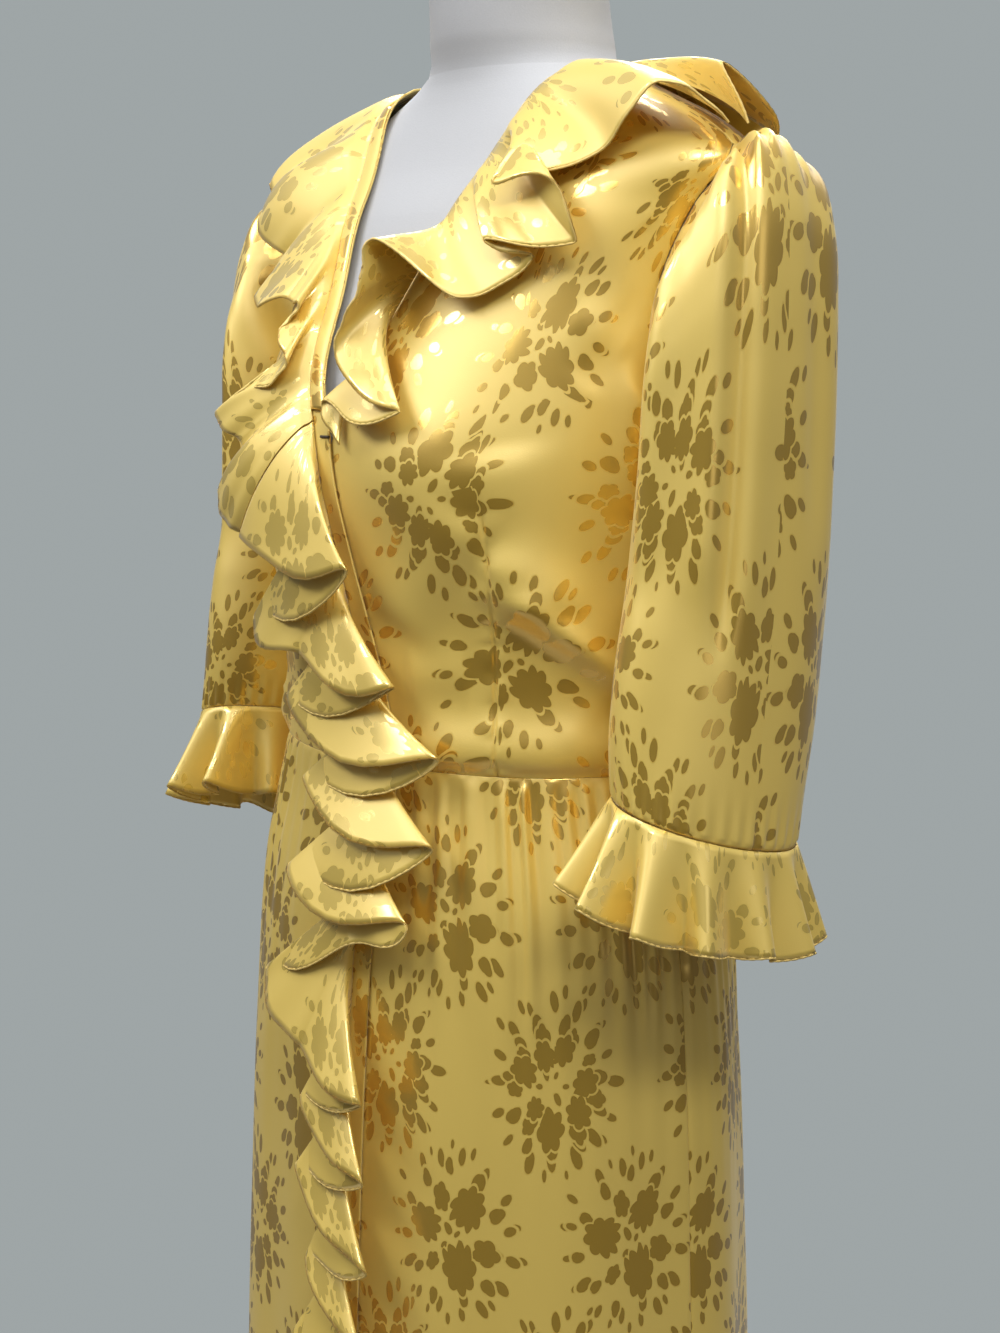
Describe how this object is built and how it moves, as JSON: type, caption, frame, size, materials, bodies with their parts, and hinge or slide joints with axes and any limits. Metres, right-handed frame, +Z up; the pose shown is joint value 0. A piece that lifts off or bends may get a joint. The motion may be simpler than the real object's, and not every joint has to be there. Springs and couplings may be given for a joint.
{
  "type": "wrap dress on a dress form",
  "caption": "Mid-calf satin wrap dress with ruffled neck, wrap edge and cuffs, standing on a limbless dress form with a pole and a round base.",
  "frame": {"origin": "centre of the underside of the stand's round base, where it rests on the floor", "axes": "+Z up along the pole, -Y towards the front of the dress, +X towards the wearer's left"},
  "size_m": [0.5144, 0.38, 1.531],
  "materials": {
    "satin": "yellow satin with a woven flower pattern in olive gold and cream",
    "jersey": "pale grey-white knitted cover",
    "enamel": "pale satin enamel",
    "dark_thread": "dark sewing thread"
  },
  "bodies": {
    "root": {"bodice_front_left": "satin", "bodice_front_right": "satin", "bodice_back": "satin", "skirt_front_left": "satin", "skirt_front_right": "satin", "skirt_back": "satin", "sleeve_left": "satin", "sleeve_right": "satin", "cuff_ruffle_left": "satin", "cuff_ruffle_right": "satin", "neck_ruffle_left": "satin", "neck_ruffle_right": "satin", "neck_ruffle_back": "satin", "wrap_ruffle": "satin", "neck_binding_right": "satin", "neck_hook": "dark_thread", "form_torso": "jersey", "form_neck_cap": "enamel", "stand_pole": "enamel", "stand_base": "enamel"}
  },
  "joints": []
}
